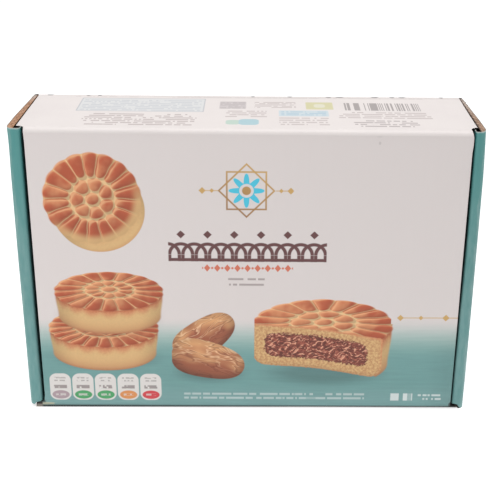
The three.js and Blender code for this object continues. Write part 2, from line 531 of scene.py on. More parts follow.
def cut_biscuit(centre, radii, thickness, mould):
    """A biscuit cut across, with its date filling towards the viewer."""
    (cx, cz), (rx, rz), (cut_u, cut_v) = centre, radii, CUT_NORMAL
    half_chord = math.sqrt(1 - CUT_AT ** 2)

    def corner(sign):
        """One end of the cut, on the rim of the top."""
        return (cx + (cut_u * CUT_AT + sign * cut_v * half_chord) * rx,
                cz + (cut_v * CUT_AT - sign * cut_u * half_chord) * rz)

    left, right = corner(1), corner(-1)
    slope = (right[1] - left[1]) / (right[0] - left[0])
    half_length = (right[0] - left[0]) / 2

    def paint(surface):
        x, up = surface.x, surface.up
        u, v = seen_from(surface, centre, radii)
        grain = crumb_grain(surface)
        drop = (0.0, -thickness / rz)
        beyond = step(x, right[0] - 3.0, right[0] - 2.5)
        crust_side(surface, drum(u, v, drop, SOFT / rz) * beyond, u, v, drop, grain, 1.0)

        kept = step(u * cut_u + v * cut_v, CUT_AT + 0.05, CUT_AT)
        before = surface.colour
        crust_top(surface, u, v, mould, grain)
        surface.colour = mixed(kept, before, surface.colour)

        along = x - (left[0] + right[0]) / 2
        sag = cosine(along * 0.11) * 0.6
        down = left[1] + (x - left[0]) * slope - up - thickness / 2 + sag
        edge = rounded_box(along, down + (grain - 0.5) * 0.8, half_length, thickness / 2 + 0.4,
                           step(down, -4.0, 4.0, 1.2, 6.0))
        crumbs = mixed(step(grain, 0.34, 0.70), CUT_TAN, CUT_PALE)
        crumbs = mixed(step(edge, -1.3, -0.2) * step(down, 4.0, -8.0, 0.35, 0.9), crumbs, CRUST)
        crumbs = scaled(crumbs, 1.0 - step(edge, -2.5, 0.0) * step(down, 2.0, 9.0) * 0.16)
        surface.lay(inside(edge, 0.0, SOFT), crumbs)

        swirl = flat_noise(x, up, 0.22) * 7.0
        strands = flat_noise(x * 0.7 + swirl, up * 1.2 - swirl, 0.75, 2.0, 0.55)
        shreds = flat_noise(x * 0.6 - up * 0.5, up * 1.3 + swirl, 0.85, 1.0)
        ragged = rounded_box(along + 0.5, down + 0.4, half_length - CRUST_THICKNESS[0],
                             thickness / 2 - CRUST_THICKNESS[1], 4.4)
        depth = ragged + (grain - 0.5) * 3.0
        paste = mixed(step(strands, 0.38, 0.60), DATE_DARK, DATE_PASTE)
        paste = mixed(step(shreds, 0.56, 0.70) * 0.9, paste, DATE_SHRED)
        paste = mixed(step(shreds, 0.44, 0.34) * 0.8, paste, DATE_DARK)
        paste = mixed(step(depth, -1.8, 0.0) * 0.45, paste, DATE_DARK)
        surface.lay(inside(depth, 0.0, 0.9), paste)

    return (cx - rx - 1, cx + rx + 1, right[1] - thickness - 2, cz + rz + 1), paint


DATE_TAPER, DATE_WIDEST = 0.14, 1.15


def date(centre, half_length, half_width, turn):
    """A dried date: a tapered oval, pale and glossy above, with folds along it."""
    (cx, cz), turn = centre, math.radians(turn)

    def paint(surface):
        x, z = surface.x - cx, surface.up - cz
        u = (x * math.cos(turn) + z * math.sin(turn)) / half_length
        v = (z * math.cos(turn) - x * math.sin(turn)) / half_width
        radius = length_of(u * u * u * 0.35 + u * 0.65, v / (1.0 - u * DATE_TAPER))
        bend = (flat_noise(u, v, 1.3, 1.0) - 0.5) * 1.3
        folds = flat_noise(u * 0.8 + cx, v * 2.2 + bend, 1.6)
        patch = flat_noise(u + cz, v + cx, 1.1, 1.0)
        glints = line(folds - 0.53, 0.02, 0.07) * step(v, -0.6, 0.4) * 0.75
        colour = mixed(step(patch * 0.9 + v * 0.28, 0.30, 0.72), DATE_SKIN, DATE_GOLD)
        colour = mixed(line(folds - 0.46, 0.02, 0.09) * 0.8, colour, DATE_BROWN)
        colour = mixed(glints, colour, DATE_GLINT)
        colour = scaled(colour, 1.03 - step(radius, 0.55, 1.0) * 0.32 + v * 0.20)
        surface.lay(inside(radius, 1.0, SOFT / half_width), colour)

    widest = half_width * DATE_WIDEST
    wide = math.hypot(half_length * math.cos(turn), widest * math.sin(turn)) + 1
    high = math.hypot(half_length * math.sin(turn), widest * math.cos(turn)) + 1
    return around(centre, (wide, high)), paint


def soft_shadow(centre, radii, strength):
    def paint(surface):
        away = length_of(*seen_from(surface, centre, radii))
        surface.shade(1.0 - step(away, 1.0, 0.35) * strength)

    return around(centre, radii), paint


ROSETTE_SQUARE, ROSETTE_STROKE = 0.655, 0.055  # as shares of its radius


def rosette(centre, radius):
    """A traditional eight-fold rosette in cyan and gold."""
    def paint(surface):
        u, v = seen_from(surface, centre, (radius, radius))
        away, soft = length_of(u, v), SOFT / radius
        slant_a, slant_b = (u + v) * math.sqrt(0.5), (u - v) * math.sqrt(0.5)
        gold = mixed(ramp(v + u * 0.4, -1.0, 1.0), GOLD_DARK, GOLD)
        for a, b in ((u, v), (slant_a, slant_b)):
            square = most(abs(a), abs(b)) - ROSETTE_SQUARE
            surface.lay(line(square, ROSETTE_STROKE, soft), gold)
        petals = away - (0.44 + 0.16 * cosine(angle_of(u, v) * 8))
        surface.lay(inside(petals, 0.0, soft * 1.5), CYAN)
        surface.lay(inside(away, 0.24, soft), WHITE)
        surface.lay(inside(away, 0.15, soft), gold)

    return around(centre, (radius, radius)), paint


def arcade(box, cells, colour, stroke):
    """A frieze of interlaced arches over a base line, with diamonds above."""
    left, right, low, high = box
    pitch, height = (right - left) / cells, high - low

    def paint(surface):
        base = surface.up - low
        marks = line(base - stroke / 2, stroke, SOFT)
        over_legs = step(base, height * 0.20, height * 0.24)
        for shift in (0.0, 0.5):
            along = cell_offset(surface, left, pitch, shift)
            reach = length_of(along, base - height * 0.22)
            arch, legs = (line(distance - pitch / 2 + stroke / 2, stroke, SOFT)
                          for distance in (reach, abs(along)))
            marks = most(marks, arch * over_legs, legs * (1.0 - over_legs))
        diamond = abs(cell_offset(surface, left, pitch)) + abs(base - height * 0.88)
        marks = most(marks, inside(diamond, height * 0.13, SOFT))
        ends = step(surface.x, left, left + SOFT) * step(surface.x, right, right - SOFT)
        surface.lay(marks * ends * inside(abs(base - height / 2), height / 2, SOFT), colour)

    return grown(box), paint


def diamond_chain(box, pitch, colour):
    left, right, low, high = box
    half = (high - low) / 2

    def paint(surface):
        rise = surface.up - (low + half)
        diamond = abs(cell_offset(surface, left, pitch)) * 1.25 + abs(rise)
        dot = length_of(cell_offset(surface, left, pitch, 0.5), rise)
        marks = most(inside(diamond, half * 0.86, SOFT), inside(dot, half * 0.26, SOFT))
        ends = inside(abs(surface.x - (left + right) / 2), (right - left) / 2, SOFT)
        surface.lay(marks * ends, colour)

    return grown(box), paint


def gold_rule(left, right, up, gems):
    """A thin gold line with small diamonds on it; gems are (x, size)."""
    def paint(surface):
        rise = surface.up - up
        mark = line(rise, 0.45, 0.35) * step(surface.x, left, left + SOFT) * 0.8
        for place, size in gems:
            mark = most(mark, inside(abs(surface.x - place) + abs(rise), size, SOFT))
        surface.lay(mark * step(surface.x, right + SOFT, right), GOLD)

    return (left - 3, right + 1, up - 3, up + 3), paint


LETTERS_IN_WORD = 5.5


def greeked(box, rows, colour, seed, word=0.9, strength=0.8, fill=0.5, centred=0.0):
    """Rows of short dashes in the place of small print, which isn't lettering.

    `word` is the width of a dash and `fill` its height as a share of a row; `centred` says how
    far the ends of the rows are drawn in at random.
    """
    left, right, low, high = box
    pitch = (high - low) / rows

    def paint(surface):
        row = floor_of((surface.up - low) / pitch)
        rise = abs(fraction((surface.up - low) / pitch) - 0.5)
        letters = chance(floor_of(surface.x / word), row + seed)
        words = chance(floor_of(surface.x / (word * LETTERS_IN_WORD)), row + seed + 31)
        inset = chance(row, seed + 7.0) * centred
        span = inside(abs(surface.x - (left + right) / 2), (right - left) / 2 - inset, SOFT)
        mark = inside(rise, fill / 2, SOFT / pitch) * span
        mark = mark * step(letters, 0.18, 0.2) * step(words, 0.10, 0.12)
        rim = inside(abs(surface.up - (low + high) / 2), (high - low) / 2, 0.2)
        surface.lay(mark * rim * strength, colour)

    return grown(box, 1, 0.5), paint


def nutrition_tabs(left, low, pitch, width, height, ovals):
    """A row of white tabs, each with a coloured oval and dashes in the place of figures."""
    right = left + pitch * len(ovals)

    def paint(surface):
        cell = (surface.x - left) / pitch
        u = fraction(cell) * pitch - width / 2
        v = surface.up - (low + height / 2)
        row = step(surface.x, left - 0.2, left) * step(surface.x, right, right - 0.2)
        shape = rounded_box(u, v, width / 2, height / 2, 3.4)
        surface.lay(inside(shape, 0.0, SOFT) * row, TAB_WHITE)

        rise = surface.up - (low + 2.7)
        spot = length_of(u / (width / 2 - 0.9), rise / 2.15)
        colour = ovals[0]
        for i, oval in enumerate(ovals[1:], 1):
            if oval != ovals[i - 1]:
                colour = mixed(step(floor_of(cell), i - 0.6, i - 0.4), colour, oval)
        surface.lay(inside(spot, 1.0, 0.12) * row, colour)

        dashes = chance(floor_of(surface.x / 0.8), floor_of(surface.up / 0.9))
        in_oval = line(rise, 1.1, 0.4) * inside(abs(u), 2.2, 0.4) * step(dashes, 0.25, 0.3)
        surface.lay(in_oval * row * 0.65, TAB_WHITE)
        figures = line(v, 1.7, 0.4) * inside(abs(u), 2.9, 0.4) * step(dashes, 0.15, 0.2)
        words = line(abs(v - 3.8) - 0.7, 0.7, 0.4) * inside(abs(u), 2.6, 0.4)
        marks = most(figures * 0.7, words * step(dashes, 0.3, 0.35) * 0.5)
        surface.lay(marks * row, SMALL_PRINT_DARK)

    return (left - 0.4, right, low - 0.5, low + height + 0.5), paint


def label(box, colour, radius=0.6, bar_pitch=None):
    """A plain field of colour, or upright bars of random widths."""
    left, right, low, high = box

    def paint(surface):
        u, v = surface.x - (left + right) / 2, surface.up - (low + high) / 2
        mask = inside(rounded_box(u, v, (right - left) / 2, (high - low) / 2, radius), 0.0, SOFT)
        if bar_pitch:
            bars = chance(floor_of((surface.x - left) / bar_pitch), 0.0)
            mask = mask * step(bars, 0.46, 0.5) * 0.64
        surface.lay(mask, colour)

    return grown(box, 0.5, 0.5), paint


FRONT_MOTIFS = [
    [rosette((-0.5, 104.0), 12.5),
     gold_rule(-20.0, -12.6, 104.0, ((-19.0, 1.5), (-15.0, 1.0))),
     gold_rule(11.6, 19.0, 104.0, ((14.0, 1.0), (18.0, 1.5)))],
    [arcade((-34.0, 34.0, 72.0, 86.0), 6, BROWN, 1.5),
     diamond_chain((-19.5, 19.5, 67.0, 71.0), 4.33, TERRACOTTA)],
    [greeked((-10.0, 9.0, 60.0, 65.2), 2, SMALL_PRINT, 3, fill=0.35, centred=2.0)],
    [gold_rule(66.0, 96.0, 45.75, ((67.0, 1.5), (76.0, 1.1), (87.0, 1.6)))],
    [whole_biscuit((-65.0, 100.0), (20.5, 20.0), (2.5, -5.0), flower_mould(7), 0.0, 0.9, 0.14)],
    [soft_shadow((-62.0, 25.5), (28.5, 8.0), 0.34),
     whole_biscuit((-63.0, 40.0), (24.0, 9.5), (0.0, -12.0), lattice_mould),
     soft_shadow((-60.5, 45.0), (26.0, 12.0), 0.45),
     whole_biscuit((-60.0, 57.5), (23.5, 9.3), (0.0, -11.5), flower_mould(10))],
    [soft_shadow((-17.0, 18.5), (20.0, 7.0), 0.34),
     date((-19.0, 36.0), 15.5, 8.5, 38.0),
     date((-17.5, 24.5), 16.5, 9.0, -14.0)],
    [soft_shadow((34.0, 18.0), (33.0, 8.0), 0.34),
     cut_biscuit((33.0, 42.0), (31.0, 12.5), 19.0, flower_mould(7))],
    [greeked((-28.5, 52.7, 4.3, 8.4), 2, PALE_PRINT, 11, word=0.8, strength=0.52)],
    [greeked((64.4, 74.5, 3.8, 8.4), 1, PALER_PRINT, 5, word=1.9, fill=0.8),
     greeked((77.0, 87.5, 4.2, 8.0), 2, PALE_PRINT, 9, word=0.8, strength=0.75)],
    [nutrition_tabs(-88.5, 4.0, 10.1, 9.5, 13.4, OVALS)],
]

TOP_GREY = top_ink(196, 182, 180)
TOP_MOTIFS = [
    [label((-74.4, -19.4, -0.5, 21.4), top_ink(206, 207, 211)),
     label((-73.9, -19.9, 0.2, 20.7), top_ink(236, 236, 236)),
     greeked((-73.0, -21.0, 0.5, 19.0), 7, top_ink(190, 194, 204), 2, strength=0.5)],
    [greeked((-70.0, -21.0, -22.5, -3.6), 7, TOP_GREY, 4, strength=0.9, centred=6.0)],
    [label((-12.9, -1.25, 5.1, 17.0), top_ink(222, 213, 213)),
     greeked((-12.6, -1.5, 5.3, 16.8), 9, top_ink(178, 168, 168), 6, fill=0.6, strength=0.55)],
    [greeked((2.5, 20.6, 6.4, 17.0), 5, TOP_GREY, 8)],
    [label((25.0, 36.9, 4.5, 16.4), top_ink(228, 222, 178)),
     label((28.5, 33.4, 7.5, 13.4), top_ink(240, 236, 214), radius=1.6)],
    [label((13.0, 34.4, -6.75, 2.6), top_ink(218, 231, 237)),
     greeked((14.0, 33.5, -5.5, 1.5), 3, top_ink(158, 196, 218), 12, strength=0.6),
     greeked((13.0, 34.0, -21.0, -8.0), 4, TOP_GREY, 14, strength=0.65)],
    [greeked((-10.0, 8.0, -9.0, 2.6), 4, TOP_GREY, 16, strength=0.7, centred=3.0)],
    [label((-9.4, -3.4, -20.0, -13.0), top_ink(206, 226, 214), radius=2.0),
     label((-4.0, 4.4, -20.5, -11.5), top_ink(186, 218, 226), radius=2.4)],
    [label((41.9, 75.0, 3.5, 15.75), top_ink(120, 110, 110), radius=0.3, bar_pitch=0.42)],
    [greeked((38.0, 79.0, -9.5, 1.4), 4, TOP_GREY, 18, strength=0.75, centred=5.0)],
    [greeked((44.0, 72.0, -22.4, -11.5), 4, top_ink(170, 158, 158), 20, strength=0.75,
             centred=4.0)],
    [greeked((-78.0, 80.0, 22.8, 24.4), 1, TOP_GREY, 22, strength=0.4)],
]


class PrintedPanel:
    """A panel whose groups of motifs each get a material on the patches that they reach."""

    def __init__(self, name, groups, base):
        self.name, self.groups, self.base = name, groups, base
        self.boxes = [self.union([box for box, _ in group]) for group in groups]
        self.slots = {}

    @staticmethod
    def union(boxes):
        return tuple(pick(sides) for pick, sides in zip((min, max, min, max), zip(*boxes)))

    def stops(self, low, high):
        return [edge for box in self.boxes for edge in box[low:high]]

    def slot(self, x, up, materials):
        """The number of the material at a place on the panel."""
        def reaches(box):
            return box[0] < x < box[1] and box[2] < up < box[3]
        group = next((i for i, box in enumerate(self.boxes) if reaches(box)), None)
        if group not in self.slots:
            surface = Surface(f"{self.name}_{'plain' if group is None else group}")
            self.base(surface)
            for _, paint in self.groups[group] if group is not None else ():
                paint(surface)
            self.slots[group] = len(materials)
            materials.append(board_finish(surface))
        return self.slots[group]


# ---- The rest of the board's surfaces ---------------------------------------------------

# Worn and dirty places on the lid panel, and a spot of painted shade at its lower right
# corner, as (centre, radii); the specks also say how dark the stains are.
RUBBED_PALE = ((LID_LEFT, 2.05), (4.4, 0.55))
CORNER_SHADE_SPOT = ((LID_RIGHT + 0.1, 2.0), (1.0, 1.4))
SPECKS = (((54.2, 125.0), (0.5, 0.7), 0.17), ((54.0, 127.7), (1.1, 0.4), 0.06))

NICK_PLACE, NICK_HALF_DEPTH = 26.3, 1.3
NICKS = (  # (x, half its width) of each dark nick along the rear fold
    (-89.7, 1.4), (-72.6, 0.9), (-67.5, 0.9), (1.6, 0.8), (18.3, 1.1), (35.8, 1.4), (40.8, 1.9),
    (56.8, 1.7), (64.7, 1.1), (69.2, 1.5), (87.0, 0.9))


def front_base(surface):
    surface.up = surface.z
    board_print(surface)
    worn_and_shaded_corners(surface)
    for centre, radii, share in SPECKS:
        away = length_of(*seen_from(surface, centre, radii))
        surface.shade(1.0 - inside(away, 1.0, 0.8) * share)


def worn_and_shaded_corners(surface):
    """The print has worn off at the lid's lower left corner.

    Painted shade darkens its lower right corner, its bottom fold, the upper part of the flared
    flap corner and the gap beside the lid's left edge.
    """
    raggedness = flat_noise(surface.x * 0.45, surface.z * 1.8, 1.2, 3.0, 0.7)
    away = length_of(*seen_from(surface, *RUBBED_PALE))
    surface.lay(step(raggedness - away * 0.40, 0.02, 0.16) * 0.75, WORN_PALE)
    # Painted shade: a dark ragged spot at the lid's lower right corner.
    away = length_of(*seen_from(surface, *CORNER_SHADE_SPOT))
    surface.lay(step(away - raggedness * 0.4, 0.95, 0.65) * 0.9, CORNER_SHADE)
    # Painted shade: the bottom fold darkens to black towards the floor.
    surface.shade(step(surface.z, 0.75, 2.1))
    flared = step(surface.x, LID_LEFT - 0.9, LID_LEFT - 1.7)
    surface.lay(flared, FOLD_GREY)
    # Painted shade over the upper part of the flared corner.
    surface.shade(1.0 - flared * step(surface.z, 1.4, 2.1) * 0.9)
    # Painted shade in the dark gap beside the lid's left edge, just above the flare.
    beside = step(surface.x, LID_LEFT + 0.7, LID_LEFT - 0.3)
    surface.shade(1.0 - beside * step(surface.z, 2.2, 2.7) * step(surface.z, 4.2, 3.4) * 0.7)


def top_base(surface):
    """White, with painted shade along a soft crease and small dark nicks along the fold to the
    rear panel.
    """
    surface.up = surface.y
    surface.colour = mixed(noise(surface.place, 0.05), WHITE, ink(224, 217, 214))
    # Painted shade along the crease by the rear fold.
    crease = line(surface.y - (REAR - 4.4), 2.6, 3.0) * step(surface.x, -75.0, -20.0)
    surface.shade(1.0 - crease * 0.09)
    for x, half in NICKS:
        away = length_of(*seen_from(surface, (x, NICK_PLACE), (half, NICK_HALF_DEPTH)))
        surface.lay(inside(away, 1.0, 0.7) * 0.85, NICK_GREY)


def rear_base(surface):
    """The lid's print again, shaded round the lock slots."""
    surface.up = surface.z
    board_print(surface)
    for side in (LEFT, RIGHT):
        for centre in TAB_CENTRES:
            middle = from_end(side, (WALLS[side]["wall"] + BOARD) / 2)
            edge = rounded_box(surface.x - middle, surface.z - centre, 1.6, SLOTTED, 0.4)
            surface.shade(1.0 - step(edge, 0.8, 0.0) * 0.25)


def teal_board(name, wear_and_highlight=None, tone_and_shade=1.0):
    """Plain teal print, more or less worn; painted shade darkens it towards the top, and
    tone_and_shade darkens the whole right wall as painted shade.
    """
    surface = Surface(name)
    place = computed("CombineXYZ", {"X": surface.x * 0.4, "Y": surface.y * 0.4,
                                    "Z": surface.z * 0.08})
    streak = noise(place, 1.3, 3.0, 0.6)
    blotch = noise(surface.place, 0.07)
    surface.colour = mixed(step(streak, 0.3, 0.7), TEAL_DEEP, TEAL)
    surface.lay(step(blotch, 0.45, 0.7) * 0.35, TEAL_LIGHT)
    surface.lay(step(surface.z, 64.0, 120.0) * 0.8, TEAL_SHADE)
    # Painted shade: the right wall is a darker copy of the same print.
    surface.shade(tone_and_shade)
    if wear_and_highlight:
        wear_and_highlight(surface, streak)
    return board_finish(surface, 0.38)


def wall_edges(surface, streak):
    """Scuffed folds, a pale line along the top edge that is scuffed print and painted highlight,
    and the rear panel's print where the wall turns into it.
    """
    outer_fold = length_of(abs(surface.x) - WIDTH / 2, surface.y - FRONT)
    surface.lay(step(streak - outer_fold * 0.35, 0.02, 0.30) * 0.18, SCUFF_AND_HIGHLIGHT)
    # Scuffed print and painted highlight: a pale line along the top edge.
    surface.lay(step(surface.z + (streak - 0.5) * 0.8, HEIGHT - 0.7, HEIGHT - 0.2) * 0.6, SCUFF_AND_HIGHLIGHT)
    before = surface.colour
    board_print(surface)
    surface.colour = mixed(step(surface.y, REAR - 1.1, REAR - 0.3), before, surface.colour)


def paper(name, dark, light, stain=None):
    """Bare paper fibres, as on the board's cut edges and inner faces."""
    surface = Surface(name)
    fibre = noise(surface.place, 3.0, 4.0, 0.7)
    surface.colour = mixed(step(fibre, 0.3, 0.7), dark, light)
    if stain:
        stain(surface)
    return surface.finish(ramp(fibre, 0.3, 0.7, 0.75, 0.95), fibre, 0.15)


def kraft_board(name, colours, shade_line_width, shade_line_colour, grey_length):
    """The cut edge along the top of an end wall.

    It has a line of painted shade along its inner side, painted shade inside the rim and on the
    inner side of its rear tip, and it is grey towards the rear.
    """
    def stain(surface):
        side, end = abs(surface.x), WIDTH / 2
        shade_line_edge = end - BOARD + shade_line_width
        surface.lay(step(noise(surface.place, 0.25), 0.4, 0.7) * 0.4, KRAFT_PALE)
        surface.lay(step(surface.y, REAR - grey_length, REAR - 2.0) * 0.7, KRAFT_GREY)
        # Painted shade: a line along the inner side, where the gap beside the hinge panel is dark.
        surface.lay(step(side, shade_line_edge + 0.2, shade_line_edge - 0.1) * 0.9, shade_line_colour)
        # Painted shade inside the rim.
        in_rim = step(side, end - 2.5, end - 2.9) * step(surface.y, FRONT + 0.4, FRONT + 0.8)
        surface.lay(in_rim, DEEP_SHADE)
        surface.lay(step(surface.z, HEIGHT - 0.4, HEIGHT - 1.0), KRAFT_BROWN)
        # Painted shade on the inner side of the rear tip.
        tip = step(surface.y, REAR - 3.0, REAR - 1.2) * step(side, end - 0.7, end - 1.3)
        surface.lay(tip * 0.85, TIP_SHADE)

    return paper(name, *colours, stain)


def shaded_inner_board():
    """The board's inner faces and hidden places, painted near black as the shade of the folds and
    gaps.
    """
    return paper("shaded_inner_board", ink(20, 18, 17), ink(38, 34, 30))


def worn_edge_and_shade():
    """Cut edges of the printed strip, greyed by handling.

    On the flap only the lower liner shows, the edge above it being painted shade, and up by the
    hinge the paper is brown.
    """
    def stain(surface):
        # Painted shade over the flap's edge above its lower liner.
        surface.lay(step(surface.z, 0.8, 1.3) * step(surface.z, BOARD + 1.0, BOARD), DEEP_SHADE)
        surface.lay(step(surface.z, 100.0, 110.0) * 0.85, ink(186, 118, 74))

    return paper("worn_edge_and_shade", ink(92, 88, 82), ink(128, 120, 110), stain)


def liner_board():
    """Cut edge of the printed outer liner: pale grey."""
    surface = Surface("liner_edge")
    fibre = noise(surface.place, 2.5, 3.0, 0.7)
    surface.colour = mixed(step(fibre, 0.35, 0.65), ink(132, 128, 122), ink(186, 184, 180))
    return surface.finish(ramp(fibre, 0.3, 0.7, 0.7, 0.9), fibre, 0.08)


# ---- Meshes of the board ---------------------------------------------------------------


class Build:
    """Points, faces and material numbers of one piece as it grows."""

    def __init__(self):
        self.points, self.faces, self.slots = [], [], []

    def put(self, points):
        first = len(self.points)
        self.points += [tuple(p) for p in points]
        return list(range(first, len(self.points)))

    def face(self, corners, slot):
        self.faces.append(tuple(corners))
        self.slots.append(slot)

    def band(self, ring_a, ring_b, slot, closed=True, skip=lambda j: False):
        """Quads between two rows of point numbers; slot may be a function of the place."""
        count = len(ring_a)
        for j in range(count if closed else count - 1):
            k = (j + 1) % count
            if not skip(j):
                self.face((ring_a[j], ring_a[k], ring_b[k], ring_b[j]),
                          slot(j) if callable(slot) else slot)

    def piece(self, name, materials, node, material_slot):
        """The piece, which stands for a CAD node."""
        mesh = bpy.data.meshes.new(name)
        mesh.from_pydata((np.array(self.points, float) * MM).tolist(), [], self.faces)
        mesh.validate()
        for material in materials:
            mesh.materials.append(material)
        mesh.polygons.foreach_set("material_index", self.slots)
        mesh.polygons.foreach_set("use_smooth", [True] * len(mesh.polygons))
        mesh.update()
        piece = bpy.data.objects.new(name, mesh)
        bpy.context.scene.collection.objects.link(piece)
        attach(piece, "root")
        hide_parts(node)
        mesh.set_sharp_from_angle(angle=CREASE_ANGLE)
        return piece


def spaced(low, high, pitch, *stops):
    """Values from low to high no more than pitch apart, through every stop between them."""
    marks = sorted({low, high, *(s for s in stops if low < s < high)})
    values = [low]
    for a, b in zip(marks, marks[1:]):
        count = max(1, math.ceil((b - a) / pitch))
        values += [a + (b - a) * i / count for i in range(1, count + 1)]
    return values


def arc(centre, radius, start, end):
    """Points on an arc with their outward directions; angles in degrees."""
    found = []
    for i in range(ARC_STEPS + 1):
        angle = math.radians(start + (end - start) * i / ARC_STEPS)
        out = (math.cos(angle), math.sin(angle))
        found.append(((centre[0] + radius * out[0], centre[1] + radius * out[1]), out))
    return found


def rounded_outline(corners):
    """A closed outline through corners (a, b, radius), each corner an arc."""
    count, found = len(corners), []
    for i, (a, b, radius) in enumerate(corners):
        here = Vector((a, b))
        if not radius:
            found.append((a, b))
            continue
        back = (Vector(corners[i - 1][:2]) - here).normalized()
        ahead = (Vector(corners[(i + 1) % count][:2]) - here).normalized()
        half = math.acos(max(-1, min(1, back.dot(ahead)))) / 2
        centre = here + (back + ahead).normalized() * radius / math.sin(half)
        start = here + back * radius / math.tan(half) - centre
        end = here + ahead * radius / math.tan(half) - centre
        sweep = math.atan2(start.cross(end), start.dot(end))
        for k in range(ARC_STEPS + 1):
            turned = Matrix.Rotation(sweep * k / ARC_STEPS, 2) @ start
            found.append(tuple(centre + turned))
    return found


SHARPEST_INSET = 0.35  # keeps a sharp corner from running far inwards


def inset_outline(points, amount):
    """The closed counter-clockwise outline moved inwards."""
    moved, count = [], len(points)
    for i, here in enumerate(points):
        here = Vector(here)
        before = (here - Vector(points[i - 1])).normalized()
        after = (Vector(points[(i + 1) % count]) - here).normalized()
        normal_a, normal_b = Vector((-before.y, before.x)), Vector((-after.y, after.x))
        middle = (normal_a + normal_b).normalized()
        moved.append(tuple(here + middle * amount / max(SHARPEST_INSET, middle.dot(normal_a))))
    return moved


STEPS_IN_FLUTE = 12


def flutes(build, start, along, across, out, length, slot):
    """The wavy paper between the liners, seen at a cut edge of the board.

    start is on the cut edge's middle line; the wave runs `along`, swings `across` and its
    edge points `out`.
    """
    start, along, across, out = map(Vector, (start, along, across, out))
    swing = BOARD / 2 - LINER - 0.1
    count = int(length / FLUTE_PITCH * STEPS_IN_FLUTE)
    rows = [[], [], [], []]
    for i in range(count + 1):
        t = length * i / count
        phase = 2 * math.pi * t / FLUTE_PITCH
        slope = math.atan(swing * 2 * math.pi / FLUTE_PITCH * math.cos(phase))
        middle = start + along * t + across * swing * math.sin(phase)
        normal = across * math.cos(slope) - along * math.sin(slope)
        fray = 0.06 * math.sin(t * 3.1) - 0.05
        corners = ((1, -FLUTE_DEPTH), (1, fray), (-1, fray), (-1, -FLUTE_DEPTH))
        for row, (sign, height) in zip(rows, corners):
            row.append(middle + normal * HALF_PAPER * sign + out * height)
    rows = [build.put(row) for row in rows]
    for a, b in zip(rows, rows[1:]):
        build.band(a, b, slot, closed=False)


# ---- Lid: hinge panel, lid panel and flap in one strip ---------------------------------

FOLD_ROWS = (2.3, 2.6, 2.9, 3.15, 3.35)  # z of the rows of points just above the flap's fold
FLAP_ROWS = (2.3, 2.7)  # how far back the flap's extra rows of points lie
FOLD_CRISPNESS = ((-91.0, 0.45), (-30.0, 0.7), (30.0, 1.0))  # (x, share of FLAP_FOLD)
COLUMN_REACH, COLUMN_PITCH = 89.0, 5.0
REAR_LIFT = 0.28
CREASE_AT, CREASE_HALF_WIDTH, CREASE_DEPTH = 2.6, 0.5, 0.14  # above the flap's fold
TUCKED_BEHIND_RIM = 8.0
LIP, LIP_DROP = 0.35, 0.12  # the printed face falls off at its edges


def strip_edges(y, z):
    """X of the strip's left and right edge where its outer face is at (y, z)."""
    at_foot = z < HEIGHT / 2
    notches, ends = (FLAP_NOTCH, FLAP_EDGES) if at_foot else (HINGE_NOTCH, PANEL_EDGES)

    def edge(name, inwards):
        start, reach = notches[name]
        way = y - FRONT + (max(0.0, FLARE_TOP[name] - z) if at_foot else 0.0)
        share = max(0.0, min(1.0, (way - start) / reach))
        turn = math.sqrt(1 - (1 - share) ** 2) if at_foot else 1 - math.sqrt(1 - share ** 2)
        lid_edge = between(LID_EDGES[name], z)
        clip = max(0.0, y - (REAR - CORNER_CLIP[name]))
        return lid_edge + (ends[name] - lid_edge) * turn + inwards * clip

    return edge("left", 1), edge("right", -1)


def strip_path(front_stops, top_stops):
    """Stations round the strip: (outer point, inner point, outward, part)."""
    stations = []

    def station(place, out, part, thickness=BOARD):
        y, z = place
        stations.append((place, (y - out[0] * thickness, z - out[1] * thickness), out, part))

    def fold(centre, radius, start, end, part):
        for place, out in arc(centre, radius, start, end)[1:-1]:
            station(place, out, part, min(BOARD, radius - 0.2))

    flap_stops = (FRONT + row for row in FLAP_ROWS)
    for back in reversed(spaced(FRONT + FLAP_FOLD, FLAP_END, 6.0, *flap_stops)):
        station((back, 0.0), (0, -1), "flap")
    fold((FRONT + FLAP_FOLD, FLAP_FOLD), FLAP_FOLD, 270, 180, "front")
    for up in spaced(FLAP_FOLD, HEIGHT - HINGE_FOLD, 4.0, *FOLD_ROWS, *front_stops):
        station((FRONT, up), (-1, 0), "front")
    fold((FRONT + HINGE_FOLD, HEIGHT - HINGE_FOLD), HINGE_FOLD, 180, 90, "hinge")
    notch_stops = [FRONT + start + reach * share
                   for start, reach in HINGE_NOTCH.values() for share in (0, 0.4, 0.7, 0.9, 1)]
    for back in spaced(FRONT + HINGE_FOLD, REAR - REAR_FOLD, 4.0, *notch_stops, *top_stops):
        station((back, HEIGHT), (0, 1), "hinge")
    fold((REAR - REAR_FOLD, HEIGHT - REAR_FOLD), REAR_FOLD, 90, 0, "hinge")
    for up in (HEIGHT - REAR_FOLD, HEIGHT - BOARD):
        station((REAR, up), (1, 0), "hinge")
    return stations


def strip_bulge(x, y, z):
    """How far the printed face stands proud of flat, in mm."""
    if z <= 0.01:
        return 0.0
    back = (y - FRONT) / DEPTH
    if back > 0.001:
        lift = REAR_LIFT * (1.0 + max(0.0, x) / NOMINAL_EDGE) * back ** 2
        crown = 0.10 * math.sin(x * 0.05) * math.sin(back * math.pi)
        return (lift + crown) * max(0.0, (z - HEIGHT + REAR_FOLD) / REAR_FOLD)
    middle = math.sin(math.pi * min(1, max(0, z / HEIGHT)))
    wave = 0.10 * math.sin(x * 0.043 + 1.0) + 0.06 * math.sin(x * 0.11 + z * 0.03)
    crease = CREASE_DEPTH * math.exp(-((z - CREASE_AT) / CREASE_HALF_WIDTH) ** 2)
    return middle * (0.12 + wave) - crease


def crisper(x, y, z):
    """The flap's fold is tighter towards the left."""
    if not (z < FLAP_FOLD and y < FRONT + FLAP_FOLD):
        return y, z
    share = between(FOLD_CRISPNESS, x)
    return FRONT + (y - FRONT) * share, z * share


